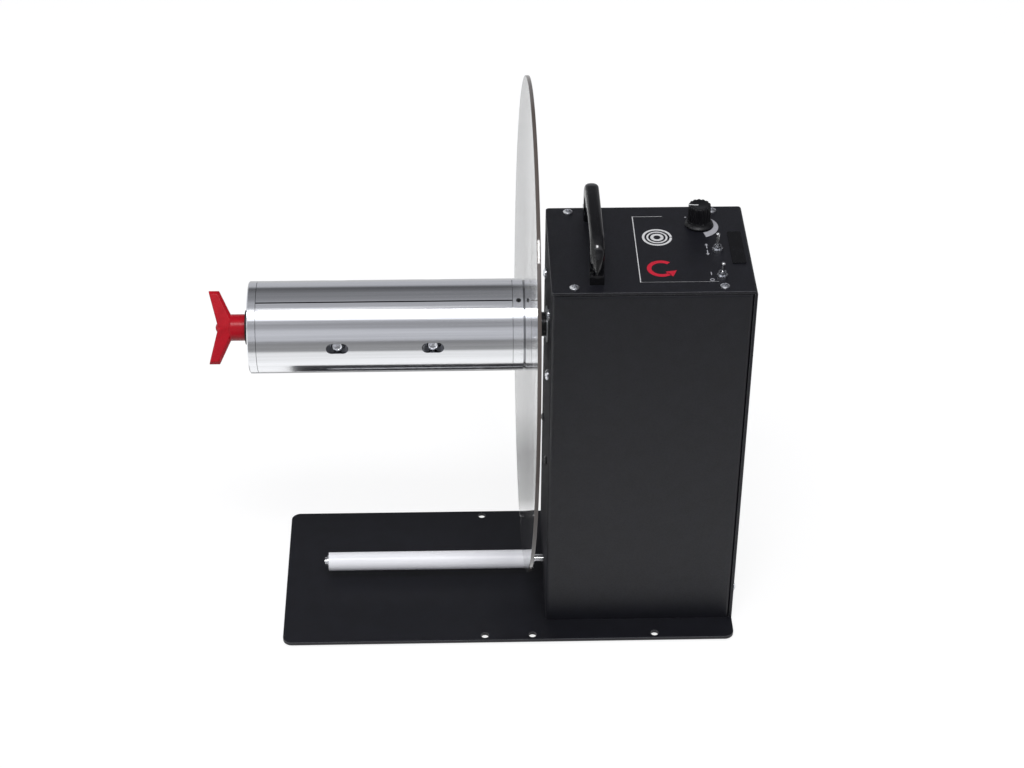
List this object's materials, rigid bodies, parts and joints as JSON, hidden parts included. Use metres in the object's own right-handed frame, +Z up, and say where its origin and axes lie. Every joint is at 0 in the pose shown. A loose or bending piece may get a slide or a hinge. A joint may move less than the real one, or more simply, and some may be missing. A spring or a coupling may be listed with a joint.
{
  "type": "powered label unwinder",
  "caption": "Desk machine that turns a label roll: motor housing with controls and handle, clear flange disc, expanding chuck with wing knob, guide roller and base plate.",
  "frame": {"origin": "under the middle of the part's box, on the surface it stands on", "axes": "+Z up, -X along the chuck towards its wing knob, +Y towards the rear of the housing"},
  "size_m": [0.4414, 0.406, 0.4792],
  "materials": {
    "black_powder": "fine textured powder coat",
    "clear_acrylic": "clear, polished",
    "turned_aluminium": "fine turned, bright",
    "cast_aluminium": "as cast",
    "bright_steel": "ground, bright",
    "zinc_steel": "zinc plated",
    "black_steel": "black oxide",
    "red_plastic": "moulded, semi-gloss",
    "black_plastic": "moulded, gloss",
    "white_plastic": "smooth",
    "rubber_black": "matt",
    "bronze": "sintered",
    "winding_copper": "lacquered",
    "magnet_grey": "sintered",
    "board_green": "solder mask",
    "switch_blue": "moulded"
  },
  "bodies": {
    "frame": {"base_plate": "black_powder", "rubber_feet": "rubber_black", "base_screws": "zinc_steel", "chassis": "black_powder", "top_cover": "black_powder", "cover_screws": "zinc_steel", "carry_handle": "black_plastic", "handle_screws": "zinc_steel", "badge_plate": "black_plastic", "gearbox_case": "cast_aluminium", "gearbox_lid": "cast_aluminium", "gearbox_screws": "zinc_steel", "gearmotor_screws": "zinc_steel", "bearing_outer_races": "bright_steel", "bearing_balls": "bright_steel", "layshaft_bushes": "bronze", "motor_can": "bright_steel", "motor_end_bell": "black_plastic", "motor_magnets": "magnet_grey", "driver_bracket": "cast_aluminium", "driver_board": "board_green", "bracket_screws": "black_steel", "control_board": "board_green", "board_standoffs": "zinc_steel", "torque_pot": "magnet_grey", "toggle_bodies": "switch_blue", "panel_nuts": "zinc_steel", "power_inlet": "black_plastic", "roller_axle": "bright_steel", "axle_hardware": "zinc_steel"},
    "spindle": {"spindle_shaft": "bright_steel", "output_gear": "bright_steel", "bearing_inner_races": "bright_steel", "chuck_hub": "turned_aluminium", "flange_disc": "clear_acrylic", "disc_clamp": "turned_aluminium", "clamp_screws": "zinc_steel", "hub_set_screws": "black_steel", "tie_rods": "bright_steel", "end_cap": "turned_aluminium", "end_cap_screws": "zinc_steel"},
    "layshaft": {"layshaft": "bright_steel", "layshaft_gear": "bright_steel"},
    "armature": {"armature": "winding_copper", "motor_pinion": "bronze"},
    "chuck_knob": {"wing_knob": "red_plastic", "draw_screw": "bright_steel", "knob_washer": "rubber_black"},
    "expander": {"expander": "turned_aluminium", "slot_screws": "zinc_steel"},
    "leaf_1": {"chuck_leaf_1": "turned_aluminium"},
    "leaf_2": {"chuck_leaf_2": "turned_aluminium"},
    "leaf_3": {"chuck_leaf_3": "turned_aluminium"},
    "guide_roller": {"guide_roller": "white_plastic"},
    "torque_knob": {"torque_knob": "black_plastic", "pot_shaft": "bright_steel"},
    "direction_toggle": {"direction_toggle": "bright_steel"},
    "power_toggle": {"power_toggle": "bright_steel"}
  },
  "joints": [
    {"name": "spindle_spin", "type": "hinge", "parent": "frame", "child": "spindle", "pos_m": [0.03665, 0, 0.2762], "axis": [1, 0, 0], "continuous": true},
    {"name": "layshaft_spin", "type": "hinge", "parent": "frame", "child": "layshaft", "pos_m": [0.07435, 0, 0.2362], "axis": [1, 0, 0], "continuous": true},
    {"name": "armature_spin", "type": "hinge", "parent": "frame", "child": "armature", "pos_m": [0.08835, 0, 0.2062], "axis": [1, 0, 0], "continuous": true},
    {"name": "knob_turn", "type": "hinge", "parent": "spindle", "child": "chuck_knob", "pos_m": [-0.1893, 0, 0.2762], "axis": [1, 0, 0], "range_deg": [0, 360]},
    {"name": "expander_slide", "type": "slide", "parent": "spindle", "child": "expander", "axis": [-1, 0, 0], "range_m": [0, 0.004]},
    {"name": "leaf_1_slide", "type": "slide", "parent": "spindle", "child": "leaf_1", "axis": [0, -0.9945, 0.1045], "range_m": [0, 0.00107]},
    {"name": "leaf_2_slide", "type": "slide", "parent": "spindle", "child": "leaf_2", "axis": [0, 0.5878, 0.809], "range_m": [0, 0.00107]},
    {"name": "leaf_3_slide", "type": "slide", "parent": "spindle", "child": "leaf_3", "axis": [0, 0.4067, -0.9135], "range_m": [0, 0.00107]},
    {"name": "roller_spin", "type": "hinge", "parent": "frame", "child": "guide_roller", "pos_m": [-0.0429, 0, 0.022], "axis": [1, 0, 0], "continuous": true},
    {"name": "torque_turn", "type": "hinge", "parent": "frame", "child": "torque_knob", "pos_m": [0.18045, 0.035, 0.3498], "axis": [0, 0, -1], "range_deg": [0, 300]},
    {"name": "direction_tip", "type": "hinge", "parent": "frame", "child": "direction_toggle", "pos_m": [0.19205, -0.003, 0.3506], "axis": [1, 0, 0], "range_deg": [0, 24]},
    {"name": "power_tip", "type": "hinge", "parent": "frame", "child": "power_toggle", "pos_m": [0.19205, -0.041, 0.3506], "axis": [-1, 0, 0], "range_deg": [0, 24]}
  ],
  "couplings": [
    {"joint": "layshaft_spin", "follows": "spindle_spin", "ratio": -3},
    {"joint": "armature_spin", "follows": "spindle_spin", "ratio": 9},
    {"joint": "knob_turn", "follows": "expander_slide", "rad_per_m": 1570.8},
    {"joint": "leaf_1_slide", "follows": "expander_slide", "ratio": 0.26795},
    {"joint": "leaf_2_slide", "follows": "expander_slide", "ratio": 0.26795},
    {"joint": "leaf_3_slide", "follows": "expander_slide", "ratio": 0.26795}
  ]
}
